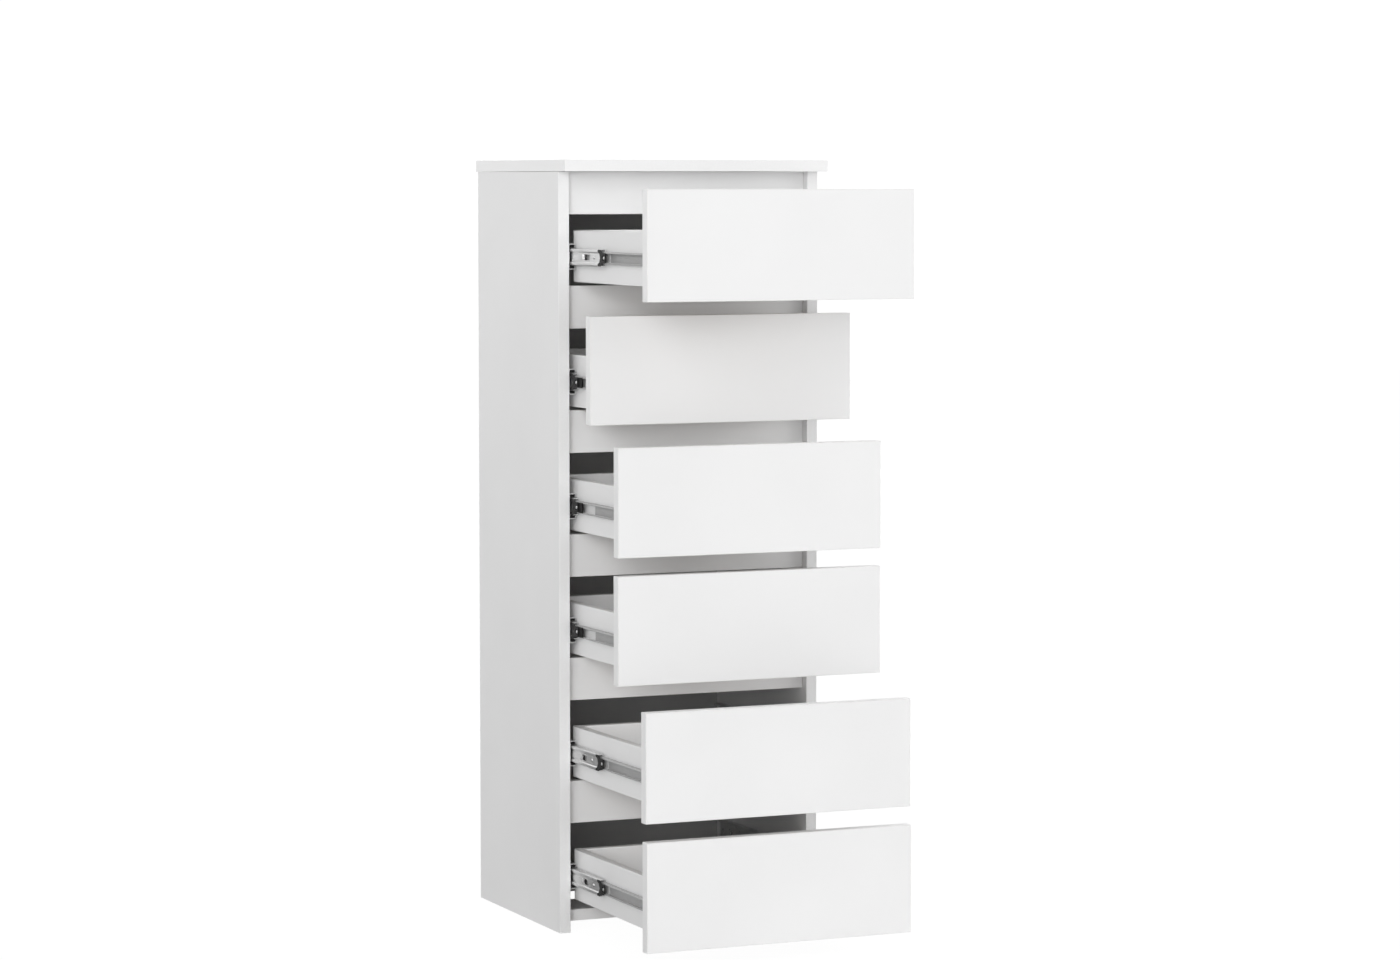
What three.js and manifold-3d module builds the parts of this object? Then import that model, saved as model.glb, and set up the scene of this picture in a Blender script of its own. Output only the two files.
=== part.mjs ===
// A tall, narrow chest of six handleless drawers on side-mounted telescopic runners.
// Millimetres, +Z up, +X to the right of somebody who faces the fronts, fronts towards -Y.
// The drawers stand partly open: each one has its own opening in DRAWER_OPEN.
// The origin is on the floor, at the centre of the box round the whole model.

import * as THREE from "three";
import { mergeVertices } from "three/addons/utils/BufferGeometryUtils.js";
import Module from "manifold-3d";

const wasm = await Module();
wasm.setup();

// Pieces that touch keep this gap.
const GAP = 0.3;

// Carcass. Depths are measured from the front edges of the side panels.
const BOARD = 16;
const HARDBOARD = 3;
const CARCASS_WIDTH = 400;
const CARCASS_DEPTH = 320;
const SIDE_HEIGHT = 1074;
const TOP_SIDE_OVERHANG = 2;
const TOP_FRONT_OVERHANG = 30;
const BACK_SIDE_INSET = 2;
const BACK_FLOOR_GAP = 5;

// Rails between the side panels, set back behind their front edges.
const RAIL_SETBACK = 14;
const RAIL_HEIGHT = 60;
const RAIL_COUNT = 5;
const LOWEST_RAIL_Z = 154;
const FLAT_RAIL_Z = 14;
const FLAT_RAIL_DEPTH = 80;

// Drawer fronts, one above the other.
const DRAWER_PITCH = 175;
const FRONT_HEIGHT = 150;
const FRONT_WIDTH = 396;
const LOWEST_FRONT_Z = 25;
const FRONT_STANDOFF = 2;

// Drawer boxes behind the fronts.
const BOX_BOARD = 12;
const BOX_HEIGHT = 73;
const BOX_LENGTH = 310;
const BOX_ABOVE_FRONT_EDGE = 19;
const RUNNER_SPACE = 12.7;
const GROOVE_DEPTH = 5;
const GROOVE_Z = 8;

// How far each drawer stands open, from the top drawer down.
const DRAWER_OPEN = [294, 94, 193, 192, 288, 292];

// Middle member of a three-part runner: a steel channel with a plastic end.
const CHANNEL_HEIGHT = 23.5;
const CHANNEL_WIDTH = 8;
const CHANNEL_LENGTH = 250;
const CHANNEL_STEEL = 1.2;
const CHANNEL_CORNER = 2;
const CHANNEL_LIP = 2.6;
const CHANNEL_SIDE_GAP = 2.2;
const RUNNER_Z = 36;
const STOP_LENGTH = 22;
const STOP_OVERLAP = 4;
const STOP_HEIGHT = 15;
const STOP_WIDTH = 5;
const WINDOW_LENGTH = 20;
const WINDOW_HEIGHT = 7;
const WINDOW_SETBACK = 42;

// How far the front end of each middle member stands out of the carcass, from the top drawer down.
const MIDDLE_OUT = [128, 26, 26, 26, 117, 122];

const HALF_WIDTH = CARCASS_WIDTH / 2;
const INNER_HALF = HALF_WIDTH - BOARD;
const BOX_HALF = INNER_HALF - RUNNER_SPACE;
const CLOSED_FACE_Y = -FRONT_STANDOFF - BOARD;
const ORIGIN_Y = (CARCASS_DEPTH + CLOSED_FACE_Y - Math.max(...DRAWER_OPEN)) / 2;

const whiteBoard = new THREE.MeshStandardMaterial({ color: 0xf1f1ef, roughness: 0.5, metalness: 0 });
const whiteHardboard = new THREE.MeshStandardMaterial({ color: 0xdcdcda, roughness: 0.6, metalness: 0 });
const zincSteel = new THREE.MeshStandardMaterial({ color: 0xb9bbbd, roughness: 0.35, metalness: 0.9 });

// A named mesh with a material of its own.
function piece(name, geometry, material) {
  const mesh = new THREE.Mesh(geometry, material.clone());
  mesh.name = name;
  return mesh;
}

// A plain board between two corners.
function board(name, low, high, material = whiteBoard) {
  const size = high.map((value, axis) => value - low[axis]);
  const mesh = piece(name, new THREE.BoxGeometry(...size), material);
  mesh.position.set(...high.map((value, axis) => (value + low[axis]) / 2));
  return mesh;
}

function outline(points) {
  return new THREE.Shape(points.map(([x, y]) => new THREE.Vector2(x, y)));
}

// An outline in X and Z, extruded from y0 back to y1.
function extrudeAlongY(points, y0, y1) {
  const geometry = new THREE.ExtrudeGeometry(outline(points), { depth: y1 - y0, bevelEnabled: false });
  return geometry.rotateX(Math.PI / 2).translate(0, y1, 0);
}

// An outline in Y and Z, extruded from x0 to x1.
function extrudeAlongX(points, x0, x1) {
  const geometry = new THREE.ExtrudeGeometry(outline(points), { depth: x1 - x0, bevelEnabled: false });
  return geometry.rotateX(Math.PI / 2).rotateZ(Math.PI / 2).translate(x0, 0, 0);
}

function toSolid(geometry) {
  const bare = geometry.clone();
  bare.deleteAttribute("normal");
  bare.deleteAttribute("uv");
  const merged = mergeVertices(bare, 1e-4);
  const vertProperties = new Float32Array(merged.attributes.position.array);
  const triVerts = new Uint32Array(merged.index.array);
  return new wasm.Manifold(new wasm.Mesh({ numProp: 3, vertProperties, triVerts }));
}

function toGeometry(solid) {
  const { vertProperties, triVerts } = solid.getMesh();
  const geometry = new THREE.BufferGeometry();
  geometry.setAttribute("position", new THREE.BufferAttribute(vertProperties, 3));
  geometry.setIndex(new THREE.BufferAttribute(triVerts, 1));
  geometry.computeVertexNormals();
  return geometry;
}

function boxGeometry(low, high) {
  const size = high.map((value, axis) => value - low[axis]);
  const centre = high.map((value, axis) => (value + low[axis]) / 2);
  return new THREE.BoxGeometry(...size).translate(...centre);
}

// Two side panels, the top, the back, the upright rails and the two flat rails near the floor.
function makeCarcass() {
  const group = new THREE.Group();
  const backY = CARCASS_DEPTH - HARDBOARD;
  const sideRear = backY - GAP;
  group.add(board("left_side", [-HALF_WIDTH, 0, 0], [-INNER_HALF, sideRear, SIDE_HEIGHT - GAP]));
  group.add(board("right_side", [INNER_HALF, 0, 0], [HALF_WIDTH, sideRear, SIDE_HEIGHT - GAP]));

  const topHalf = HALF_WIDTH + TOP_SIDE_OVERHANG;
  group.add(
    board(
      "top_panel",
      [-topHalf, -TOP_FRONT_OVERHANG, SIDE_HEIGHT],
      [topHalf, CARCASS_DEPTH, SIDE_HEIGHT + BOARD],
    ),
  );
  const backHalf = HALF_WIDTH - BACK_SIDE_INSET;
  group.add(
    board(
      "back_panel",
      [-backHalf, backY, BACK_FLOOR_GAP],
      [backHalf, CARCASS_DEPTH, SIDE_HEIGHT - GAP],
      whiteHardboard,
    ),
  );

  const railHalf = INNER_HALF - GAP;
  const railRear = RAIL_SETBACK + BOARD;
  group.add(
    board(
      "top_front_rail",
      [-railHalf, RAIL_SETBACK, SIDE_HEIGHT - RAIL_HEIGHT],
      [railHalf, railRear, SIDE_HEIGHT - GAP],
    ),
  );
  for (let i = 0; i < RAIL_COUNT; i++) {
    const z = LOWEST_RAIL_Z + (RAIL_COUNT - 1 - i) * DRAWER_PITCH;
    group.add(
      board(`divider_rail_${i + 1}`, [-railHalf, RAIL_SETBACK, z], [railHalf, railRear, z + RAIL_HEIGHT]),
    );
  }
  const flatTop = FLAT_RAIL_Z + BOARD;
  group.add(
    board(
      "bottom_front_rail",
      [-railHalf, RAIL_SETBACK, FLAT_RAIL_Z],
      [railHalf, RAIL_SETBACK + FLAT_RAIL_DEPTH, flatTop],
    ),
  );
  group.add(
    board("bottom_rear_rail", [-railHalf, sideRear - FLAT_RAIL_DEPTH, FLAT_RAIL_Z], [railHalf, sideRear, flatTop]),
  );
  return group;
}

// A drawer box side: an upright board with a groove for the bottom on its inner face.
// side is -1 for the left board and 1 for the right one.
function makeBoxSide(name, side, y0, y1) {
  const outer = side * BOX_HALF;
  const inner = side * (BOX_HALF - BOX_BOARD);
  const grooveEnd = inner + side * (GROOVE_DEPTH + GAP);
  const grooveTop = GROOVE_Z + HARDBOARD + GAP;
  const points = [
    [outer, 0],
    [inner, 0],
    [inner, GROOVE_Z - GAP],
    [grooveEnd, GROOVE_Z - GAP],
    [grooveEnd, grooveTop],
    [inner, grooveTop],
    [inner, BOX_HEIGHT],
    [outer, BOX_HEIGHT],
  ];
  return piece(name, extrudeAlongY(points, y0, y1), whiteBoard);
}

// The board that closes a drawer box at the rear, with the same groove on its front face.
function makeBoxBack(name, y0, y1) {
  const half = BOX_HALF - BOX_BOARD - GAP;
  const grooveEnd = y0 + GROOVE_DEPTH + GAP;
  const grooveTop = GROOVE_Z + HARDBOARD + GAP;
  const points = [
    [y0, 0],
    [y1, 0],
    [y1, BOX_HEIGHT],
    [y0, BOX_HEIGHT],
    [y0, grooveTop],
    [grooveEnd, grooveTop],
    [grooveEnd, GROOVE_Z - GAP],
    [y0, GROOVE_Z - GAP],
  ];
  return piece(name, extrudeAlongX(points, -half, half), whiteBoard);
}

// One closed drawer, with z 0 at the lower edge of its box.
function makeDrawer(number) {
  const group = new THREE.Group();
  const name = `drawer_${number}`;
  const frontHalf = FRONT_WIDTH / 2;
  const boxFront = -FRONT_STANDOFF + GAP;
  const boxRear = -FRONT_STANDOFF + BOX_LENGTH;
  const backFront = boxRear - BOX_BOARD;
  group.add(
    board(
      `${name}_front`,
      [-frontHalf, CLOSED_FACE_Y, -BOX_ABOVE_FRONT_EDGE],
      [frontHalf, -FRONT_STANDOFF, FRONT_HEIGHT - BOX_ABOVE_FRONT_EDGE],
    ),
  );
  group.add(makeBoxSide(`${name}_left_side`, -1, boxFront, boxRear));
  group.add(makeBoxSide(`${name}_right_side`, 1, boxFront, boxRear));
  group.add(makeBoxBack(`${name}_back`, backFront, boxRear));
  const bottomHalf = BOX_HALF - BOX_BOARD + GROOVE_DEPTH;
  group.add(
    board(
      `${name}_bottom`,
      [-bottomHalf, boxFront, GROOVE_Z],
      [bottomHalf, backFront + GROOVE_DEPTH, GROOVE_Z + HARDBOARD],
      whiteHardboard,
    ),
  );
  return group;
}

// The outline of the steel channel: web towards the carcass, flanges towards the drawer.
// side is -1 for the left runner and 1 for the right one, and z 0 is the runner's centre line.
function channelOutline(side) {
  const web = side * (INNER_HALF - CHANNEL_SIDE_GAP);
  const at = (depth) => web - side * depth;
  const outerHalf = CHANNEL_HEIGHT / 2;
  const innerHalf = outerHalf - CHANNEL_STEEL;
  const lip = outerHalf - CHANNEL_LIP;
  const upper = [
    [at(0), outerHalf - CHANNEL_CORNER],
    [at(CHANNEL_CORNER), outerHalf],
    [at(CHANNEL_WIDTH - CHANNEL_CORNER), outerHalf],
    [at(CHANNEL_WIDTH), lip],
    [at(CHANNEL_WIDTH - CHANNEL_STEEL), lip],
    [at(CHANNEL_WIDTH - CHANNEL_CORNER - CHANNEL_STEEL / 2), innerHalf],
    [at(CHANNEL_CORNER + CHANNEL_STEEL / 2), innerHalf],
    [at(CHANNEL_STEEL), innerHalf - CHANNEL_CORNER + CHANNEL_STEEL / 2],
  ];
  const lower = upper.map(([x, z]) => [x, -z]).reverse();
  return [...upper, ...lower];
}

// A middle member with its front end at y 0: plastic end, then channel with a window in its web.
function makeMiddleMember(name, side) {
  const channelFront = STOP_LENGTH - STOP_OVERLAP;
  const web = side * (INNER_HALF - CHANNEL_SIDE_GAP);
  const between = (a, b) => [Math.min(a, b), Math.max(a, b)];
  const channel = extrudeAlongY(channelOutline(side), channelFront, channelFront + CHANNEL_LENGTH);
  const [stopLow, stopHigh] = between(web - side * CHANNEL_STEEL * 0.5, web - side * (CHANNEL_STEEL + STOP_WIDTH));
  const stop = boxGeometry([stopLow, 0, -STOP_HEIGHT / 2], [stopHigh, STOP_LENGTH, STOP_HEIGHT / 2]);
  const [windowLow, windowHigh] = between(web + side, web - side * 2 * CHANNEL_STEEL);
  const windowFront = channelFront + WINDOW_SETBACK;
  const window = boxGeometry(
    [windowLow, windowFront, -WINDOW_HEIGHT / 2],
    [windowHigh, windowFront + WINDOW_LENGTH, WINDOW_HEIGHT / 2],
  );
  const solid = toSolid(channel).add(toSolid(stop)).subtract(toSolid(window));
  return piece(name, toGeometry(solid), zincSteel);
}

const chest = new THREE.Group();
chest.position.set(0, -ORIGIN_Y, 0);
chest.add(makeCarcass());

DRAWER_OPEN.forEach((open, index) => {
  const number = index + 1;
  const frontZ = LOWEST_FRONT_Z + (DRAWER_OPEN.length - number) * DRAWER_PITCH;
  const boxZ = frontZ + BOX_ABOVE_FRONT_EDGE;

  const drawer = makeDrawer(number);
  drawer.position.set(0, -open, boxZ);
  chest.add(drawer);

  const runners = new THREE.Group();
  runners.add(makeMiddleMember(`runner_${number}_left_middle`, -1));
  runners.add(makeMiddleMember(`runner_${number}_right_middle`, 1));
  runners.position.set(0, -MIDDLE_OUT[index], boxZ + RUNNER_Z);
  chest.add(runners);
});

export default chest;
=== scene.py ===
"""Looks of a tall, narrow chest of six handleless drawers on telescopic side runners.

Metres, +Z up, fronts towards -Y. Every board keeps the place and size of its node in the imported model,
but the back panel is NAIL_STANDOFF thinner, so that its nail heads stay inside the node's box.
"""

import math

import bmesh
import bpy
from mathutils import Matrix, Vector


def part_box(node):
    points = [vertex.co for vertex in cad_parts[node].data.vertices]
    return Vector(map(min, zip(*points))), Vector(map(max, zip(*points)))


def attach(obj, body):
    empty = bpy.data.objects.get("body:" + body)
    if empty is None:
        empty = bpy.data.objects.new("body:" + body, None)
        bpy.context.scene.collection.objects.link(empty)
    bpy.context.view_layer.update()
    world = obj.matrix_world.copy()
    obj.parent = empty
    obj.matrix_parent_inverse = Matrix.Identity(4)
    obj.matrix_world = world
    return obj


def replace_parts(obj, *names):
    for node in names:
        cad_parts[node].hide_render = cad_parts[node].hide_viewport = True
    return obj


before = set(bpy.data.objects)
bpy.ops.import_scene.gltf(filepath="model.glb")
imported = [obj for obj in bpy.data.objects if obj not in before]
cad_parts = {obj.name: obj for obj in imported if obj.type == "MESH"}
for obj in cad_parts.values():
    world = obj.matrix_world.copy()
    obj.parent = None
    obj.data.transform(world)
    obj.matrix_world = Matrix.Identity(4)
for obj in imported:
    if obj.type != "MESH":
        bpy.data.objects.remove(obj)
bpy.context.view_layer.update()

MM = 0.001
DRAWERS = range(1, 7)
DIVIDER_RAILS = range(1, 6)
SIDES = {"left": -1, "right": 1}
X, Y, Z = 0, 1, 2


def in_mm(rows):
    """Rows of millimetres, as metres."""
    return [tuple(value * MM for value in row) for row in rows]


# Mesh detail.
ARC_STEPS = 5
HEAD_SIDES = 32
CAM_SIDES = 48
NAIL_SIDES = 14
CUT_PAST = 1 * MM
SOFT_SEGMENTS = 2
SOFT_ANGLE = 40
STEEL_EDGE = 0.2 * MM
PLASTIC_EDGE = 0.25 * MM
CAGE_EDGE = 0.1 * MM
# How nearly a normal lies along an axis on a flat face, a board's broad face, a painted face and a cut end.
FLAT = 0.9999
BROAD = 0.5
PAINTED = 0.7
CUT_END = 0.9

# Boards.
BAND = 0.8 * MM
BAND_RADIUS = 0.35 * MM
CORE_RADIUS = 0.12 * MM
FOIL_RADIUS = 1.2 * MM
HARDBOARD_RADIUS = 0.3 * MM
GROOVE_DEPTH = 5.3 * MM
GROOVE_LOW = 7.7 * MM
GROOVE_HIGH = 11.3 * MM
GROOVE_LIP_RADIUS = 0.2 * MM

# Nails of the back panel. A nail head is (radius, height above the panel), from its top outwards.
NAIL_HEAD = in_mm([(1.5, 0.5), (1.7, 0.3), (1.7, 0.0)])
NAIL_STANDOFF = 0.5 * MM
NAIL_ROWS = 11
NAIL_FROM_END = 20 * MM
NAIL_FROM_SIDE = 6 * MM
NAIL_SPACING = 110 * MM
NAIL_BELOW_TOP = 6 * MM
NAIL_BELOW_BOTTOM_RAIL_TOP = 8 * MM

# Fittings and screws. A turned profile is (radius, depth), and a cross recess is its size, width and depth.
CAM_RADIUS = 7.5 * MM
CAM_CLEARANCE = 0.1 * MM
CAM_DEPTH = 2.5 * MM
CAM_SINK = 0.15 * MM
CAM_FROM_FRONT = 24 * MM
CAM_HEIGHTS = (22 * MM, 54 * MM)
CAM_PROFILE = in_mm([(0, 0.5), (4.6, 0.5), (5.0, 0.05), (7.1, 0), (7.5, 0.3), (7.5, 1.2), (0, 1.2)])
CAM_CROSS = (7.0 * MM, 1.7 * MM, 1.0 * MM)
FLAT_HEAD_PROFILE = in_mm([(0, 0), (3.4, 0), (3.7, 0.15), (3.7, 0.3), (1.8, 1.1), (0, 1.1)])
FLAT_HEAD_CROSS = (4.4 * MM, 1.1 * MM, 0.8 * MM)
PAN_HEAD_PROFILE = in_mm([(0, -1.8), (1.6, -1.75), (2.8, -1.3), (3.5, -0.4), (3.5, 0), (0, 0)])
PAN_HEAD_HEIGHT = 1.8 * MM
PAN_HEAD_CROSS = (4.2 * MM, 1.0 * MM, 0.9 * MM)

# Runners. Depths are measured from the carcass side towards the drawer, heights from the runner's middle.
# A path is the (depth, height) middle line of a bent sheet, and a cut is the two depths that a cutter spans.
RUNNER_Z = 36 * MM
CABINET_SETBACK = 2 * MM
CABINET_LENGTH = 300 * MM
CABINET_STEEL = 1.2 * MM
CABINET_BEND = 1.6 * MM
CABINET_PATH = in_mm([(9.8, 14.0), (9.8, 17.4), (0.6, 17.4), (0.6, -17.4), (9.8, -17.4), (9.8, -14.0)])
CABINET_CUT = (-CUT_PAST, 2 * MM)
CABINET_SCREWS = [35 * MM, 163 * MM, 259 * MM]
CABINET_SCREW_TOP = 1.3 * MM
CABINET_HOLE_RADIUS = 3.7 * MM
CABINET_SLOTS = [80 * MM, 200 * MM]
CABINET_SLOT_LENGTH = 14 * MM
CABINET_SLOT_HEIGHT = 5 * MM
CABINET_SLOT_RADIUS = 2.4 * MM
MIDDLE_LENGTH = 249 * MM
MIDDLE_START = 18.5 * MM
MIDDLE_STEEL = 1.2 * MM
MIDDLE_BEND = 0.9 * MM
MIDDLE_PATH = in_mm([
    (9.6, 9.0), (9.6, 11.15), (2.8, 11.15), (2.8, 7.4), (4.0, 6.6),
    (4.0, -6.6), (2.8, -7.4), (2.8, -11.15), (9.6, -11.15), (9.6, -9.0),
])
MIDDLE_CUT = (0, 8 * MM)
MIDDLE_WINDOW = (60 * MM, 80 * MM)
MIDDLE_WINDOW_HEIGHT = 8 * MM
MIDDLE_WINDOW_RADIUS = 1.2 * MM
MIDDLE_PANEL = (84 * MM, 118 * MM)
MIDDLE_PANEL_DEPTHS = (2.7 * MM, 3.8 * MM)
MIDDLE_PANEL_HEIGHT = 8.5 * MM
MIDDLE_PANEL_RADIUS = 0.45 * MM
MIDDLE_RIVET = 44 * MM
RIVET_PROFILE = in_mm([(0, 2.5), (1.6, 2.6), (2.6, 3.1), (2.6, 3.8), (0, 3.8)])
PIN_PROFILE = in_mm([(0, 1.5), (1.9, 1.6), (2.3, 2.0), (2.3, 3.6), (0, 3.6)])
MIDDLE_HOLES = [156 * MM, 212 * MM, 258 * MM]
MIDDLE_HOLE_RADIUS = 2.2 * MM
# The plastic end, as (y, height, corner radius): half of its face, the notch between its horns, its block.
STOP_HALF_FACE = in_mm([
    (0.0, 5.0, 2.5), (2.5, 7.3, 1.8), (10.0, 7.3, 4.0), (17.0, 11.4, 2.6),
    (27.0, 11.4, 1.6), (27.0, 8.2, 1.4), (21.0, 6.2, 2.5),
])
STOP_NOTCH = (18.4 * MM, 0.0, 0.0)
STOP_FACE_DEPTHS = (1.5 * MM, 2.15 * MM)
STOP_BLOCK = in_mm([(0.5, -6.6, 2.0), (17.5, -6.6, 0.5), (17.5, 6.6, 0.5), (0.5, 6.6, 2.0)])
STOP_BLOCK_DEPTHS = (2.15 * MM, 3.6 * MM)
STOP_HOLE = 5.6 * MM
STOP_HOLE_RADIUS = 3.9 * MM
STOP_CUT = (0, 6 * MM)
DRAWER_MEMBER_SETBACK = 4 * MM
DRAWER_MEMBER_LENGTH = 300 * MM
DRAWER_MEMBER_STEEL = 1.0 * MM
DRAWER_MEMBER_BEND = 1.4 * MM
DRAWER_MEMBER_PATH = in_mm([(5.4, 6.0), (5.4, 8.0), (12.0, 8.0), (12.0, -8.0), (5.4, -8.0), (5.4, -6.0)])
DRAWER_MEMBER_CUT = (10 * MM, 14 * MM)
DRAWER_MEMBER_SCREWS = [35 * MM, 259 * MM]
DRAWER_MEMBER_SCREW_BASE = 11.5 * MM
DRAWER_MEMBER_SLOTS = [18 * MM, 232 * MM, 278 * MM]
DRAWER_MEMBER_SLOT_LENGTH = 12 * MM
DRAWER_MEMBER_SLOT_HEIGHT = 4.4 * MM
DRAWER_MEMBER_SLOT_RADIUS = 2.1 * MM
# How far the inner ball cage of each drawer, from the top one down, stands out ahead of the nose at rest.
# Where the cage stands well ahead, its pale steel paints the lighter patch of reflected light just ahead of
# the nose.
INNER_CAGE_AHEAD = [-3 * MM, 42 * MM, 42 * MM, 42 * MM, -3 * MM, -3 * MM]
INNER_CAGE_LENGTH = 84 * MM
INNER_CAGE_STEEL = 0.6 * MM
INNER_CAGE_BEND = 0.8 * MM
INNER_CAGE_PATH = in_mm([(6.6, 7.0), (11.0, 7.0), (11.0, -7.0), (6.6, -7.0)])
# The black ribbed block just ahead of the nose, on drawers whose inner cage stands out. It moves with the
# middle member, so that it stays at the nose.
CAGE_BLOCK_AHEAD = 12 * MM
CAGE_BLOCK_LENGTH = 20 * MM
CAGE_BLOCK_HALF_HEIGHT = 7.2 * MM
CAGE_BLOCK_FACE = 3.4 * MM
CAGE_BLOCK_FLOOR = 3.8 * MM
CAGE_BLOCK_BACK = 4.7 * MM
CAGE_BLOCK_RADIUS = 0.1 * MM
CAGE_BAR = 1.7 * MM
CAGE_RIB_PITCH = 3.4 * MM
CAGE_RIB_WIDTH = 1.4 * MM
# The outer ball cages, above and below the middle member.
CAGE_SETBACK = 4 * MM
CAGE_LENGTH = 66 * MM
CAGE_DEPTHS = (1.7 * MM, 9.0 * MM)
CAGE_HALF_HEIGHT = 1.1 * MM
CAGE_RADIUS = 0.4 * MM
BALL_RADIUS = 2.3 * MM
BALL_START = 6 * MM
BALL_HEIGHT = 14.15 * MM
BALL_DEPTH = 5.4 * MM
BALL_PITCH = 9 * MM

# Stage. The world lights the chest at AMBIENT, is mirrored at MIRRORED and is seen at BACKDROP. The camera
# sees the floor as FLOOR_GLOW parts glow at BACKDROP, the rest lit surface. It is mirrored at FLOOR_MIRRORED.
AMBIENT = 0.34
MIRRORED = 1.05
BACKDROP = 1.05
FLOOR_MIRRORED = 0.22
FLOOR_GLOW = 0.93
FLOOR_HALF_WIDTH = 14.0
FLOOR_DROP = 0.2 * MM
# Each softbox as azimuth, elevation and width in degrees, and strength.
SOFTBOXES = {
    "front": (-30, 4, 25, 1.12),
    "front_left": (-45, 25, 25, 0.60),
    "left": (-75, 15, 30, 0.08),
    "front_right": (60, 10, 30, 0.77),
    "right": (90, 30, 45, 1.10),
    "rear": (180, 15, 45, 0.50),
}
# Camera: sensor and lens in millimetres, angles in degrees.
CAMERA_SENSOR = 36.0
CAMERA_LENS = 104.487
CAMERA_REACH = 60.0
CAMERA_PLACE = (-2.30733, -5.28053, 1.06541)
CAMERA_DOWN = 4.258
CAMERA_TO_RIGHT = 23.764


# ---------------------------------------------------------------- materials

def start_material(name):
    material = bpy.data.materials.new(name)
    material.use_nodes = True
    tree = material.node_tree
    coordinates = tree.nodes.new("ShaderNodeTexCoord").outputs["Object"]
    return material, tree, tree.nodes["Principled BSDF"], coordinates


def stretched(tree, vector, scale):
    node = tree.nodes.new("ShaderNodeMapping")
    node.inputs["Scale"].default_value = scale
    tree.links.new(vector, node.inputs["Vector"])
    return node.outputs["Vector"]


def noise(tree, vector, scale, detail=3.0, roughness=0.5):
    node = tree.nodes.new("ShaderNodeTexNoise")
    node.inputs["Scale"].default_value = scale
    node.inputs["Detail"].default_value = detail
    node.inputs["Roughness"].default_value = roughness
    tree.links.new(vector, node.inputs["Vector"])
    return node.outputs["Fac"]


def cells(tree, vector, scale, output="Color"):
    node = tree.nodes.new("ShaderNodeTexVoronoi")
    node.inputs["Scale"].default_value = scale
    tree.links.new(vector, node.inputs["Vector"])
    return node.outputs[output]


def spread(tree, value, low, high, start=0.3, end=0.7):
    node = tree.nodes.new("ShaderNodeMapRange")
    node.inputs["From Min"].default_value = start
    node.inputs["From Max"].default_value = end
    node.inputs["To Min"].default_value = low
    node.inputs["To Max"].default_value = high
    tree.links.new(value, node.inputs["Value"])
    return node.outputs["Result"]


def blend_colours(tree, value, stops):
    node = tree.nodes.new("ShaderNodeValToRGB")
    ramp = node.color_ramp
    while len(ramp.elements) < len(stops):
        ramp.elements.new(0.5)
    for element, (position, colour) in zip(ramp.elements, stops):
        element.position = position
        element.color = (*colour, 1.0)
    tree.links.new(value, node.inputs["Fac"])
    return node.outputs["Color"]


def bump(tree, shader, height, strength, distance):
    node = tree.nodes.new("ShaderNodeBump")
    node.inputs["Strength"].default_value = strength
    node.inputs["Distance"].default_value = distance
    tree.links.new(height, node.inputs["Height"])
    tree.links.new(node.outputs["Normal"], shader.inputs["Normal"])


def grey(value):
    return (value, value, value)


def make_melamine():
    """White decor paper under melamine resin: even, satin, with a fine pearl texture."""
    material, tree, shader, place = start_material("melamine_white")
    cloud = noise(tree, place, scale=6.0, detail=2.0)
    colour = blend_colours(tree, cloud, [(0.3, grey(0.852)), (0.7, grey(0.876))])
    tree.links.new(colour, shader.inputs["Base Color"])
    patches = noise(tree, place, scale=240.0, detail=4.0)
    tree.links.new(spread(tree, patches, low=0.40, high=0.52), shader.inputs["Roughness"])
    bump(tree, shader, noise(tree, place, scale=1300.0, detail=2.0), strength=0.18, distance=0.03 * MM)
    return material


def make_edging():
    """Thin plastic band, a little smoother than the faces, with a faint unevenness."""
    material, tree, shader, place = start_material("edge_band_white")
    mottle = noise(tree, place, scale=420.0, detail=3.0)
    colour = blend_colours(tree, mottle, [(0.3, grey(0.89)), (0.7, grey(0.91))])
    tree.links.new(colour, shader.inputs["Base Color"])
    tree.links.new(spread(tree, mottle, low=0.30, high=0.42), shader.inputs["Roughness"])
    bump(tree, shader, noise(tree, place, scale=700.0, detail=3.0), strength=0.12, distance=0.03 * MM)
    return material


def make_chipboard():
    """Raw chipboard edge: pressed flakes of several browns with small pits."""
    material, tree, shader, place = start_material("chipboard_raw")
    flakes = cells(tree, stretched(tree, place, (1.0, 1.0, 1.8)), scale=520.0)
    separate = tree.nodes.new("ShaderNodeSeparateColor")
    tree.links.new(flakes, separate.inputs["Color"])
    browns = [
        (0.0, (0.30, 0.19, 0.10)),
        (0.4, (0.47, 0.33, 0.19)),
        (0.75, (0.62, 0.47, 0.30)),
        (1.0, (0.72, 0.58, 0.40)),
    ]
    tree.links.new(blend_colours(tree, separate.outputs["Red"], browns), shader.inputs["Base Color"])
    roughness = spread(tree, separate.outputs["Green"], low=0.75, high=0.95, start=0.0, end=1.0)
    tree.links.new(roughness, shader.inputs["Roughness"])
    pits = noise(tree, place, scale=900.0, detail=5.0, roughness=0.7)
    bump(tree, shader, pits, strength=0.6, distance=0.2 * MM)
    return material


def make_hardboard_paint(name, bright):
    """The painted face of a hardboard: smooth, slightly uneven."""
    material, tree, shader, place = start_material(name)
    cloud = noise(tree, place, scale=14.0, detail=4.0)
    colour = blend_colours(tree, cloud, [(0.3, grey(bright * 0.96)), (0.7, grey(bright))])
    tree.links.new(colour, shader.inputs["Base Color"])
    patches = noise(tree, place, scale=300.0)
    tree.links.new(spread(tree, patches, low=0.50, high=0.64), shader.inputs["Roughness"])
    bump(tree, shader, noise(tree, place, scale=800.0, detail=4.0), strength=0.25, distance=0.05 * MM)
    return material


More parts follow.
